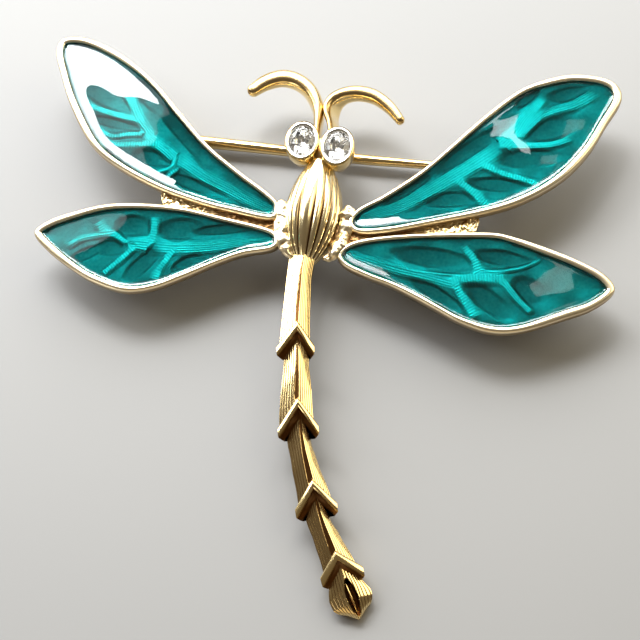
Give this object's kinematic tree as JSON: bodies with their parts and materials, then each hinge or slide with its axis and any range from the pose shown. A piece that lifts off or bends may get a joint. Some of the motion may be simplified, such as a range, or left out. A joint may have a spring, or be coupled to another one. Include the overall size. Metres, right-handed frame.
{
  "type": "brooch",
  "caption": "Dragonfly brooch with enamelled openwork wings, crystal eyes in cups, a ribbed body, a collared curved tail and a hinged pin on the back.",
  "frame": {"origin": "middle of the brooch seen from above, at the height of the surface it lies on", "axes": "+X to the brooch's right as seen from its front, +Y towards the head, +Z out of its front"},
  "size_m": [0.0598, 0.056, 0.0074],
  "materials": {
    "gold": "polished gold plate",
    "enamel": "glossy translucent teal enamel",
    "crystal": "clear faceted crystal"
  },
  "bodies": {
    "brooch": {"casting": "gold", "enamel_fore_left": "enamel", "enamel_fore_right": "enamel", "enamel_hind_left": "enamel", "enamel_hind_right": "enamel", "stone_left": "crystal", "stone_right": "crystal", "hinge_rivet": "gold"},
    "pin": {"pin_stem": "gold"}
  },
  "joints": [
    {"name": "pin_hinge", "type": "hinge", "parent": "brooch", "child": "pin", "pos_m": [-0.01659, 0.01925, 0.0012], "axis": [0, 1, 0], "range_deg": [0, 80]}
  ]
}
